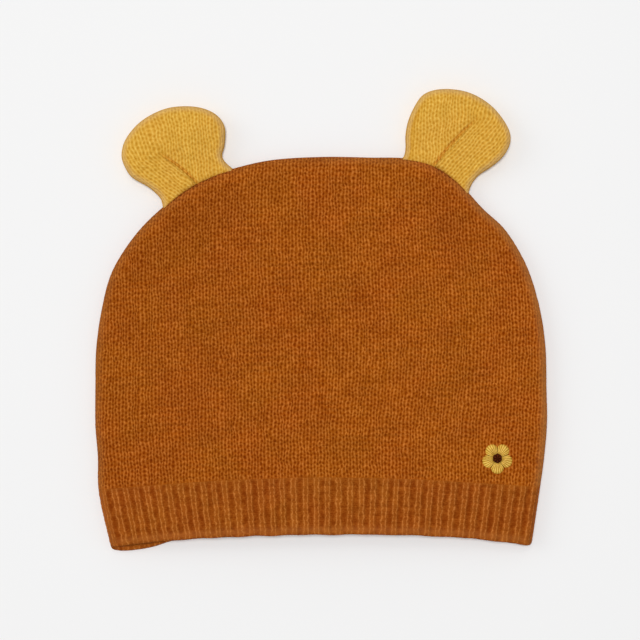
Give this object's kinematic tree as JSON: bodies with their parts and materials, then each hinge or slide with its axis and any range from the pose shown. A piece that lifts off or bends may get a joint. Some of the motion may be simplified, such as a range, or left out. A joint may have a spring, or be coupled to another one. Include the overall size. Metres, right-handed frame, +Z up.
{
  "type": "knitted baby hat with ears",
  "caption": "Flat-lying knitted baby hat: a rounded crown of front and back panels, a ribbed band, padded ears and a small embroidered flower.",
  "frame": {"origin": "on the surface that the hat lies on, under the middle of its box", "axes": "+Z up through the lying hat from back to front, +Y from the hem towards the ears, +X to the right as seen from above"},
  "size_m": [0.1802, 0.1834, 0.0125],
  "materials": {
    "crown_knit": "rust brown fine cotton stocking stitch",
    "rib_knit": "rust brown cotton one by one rib",
    "ear_knit": "honey yellow fine cotton stocking stitch",
    "petal_thread": "yellow satin-stitched embroidery thread",
    "centre_thread": "dark brown embroidery thread"
  },
  "bodies": {
    "root": {"crown_front": "crown_knit", "crown_back": "crown_knit", "rib_front": "rib_knit", "rib_back": "rib_knit", "ear_left": "ear_knit", "ear_right": "ear_knit", "flower_petals": "petal_thread", "flower_centre": "centre_thread"}
  },
  "joints": []
}
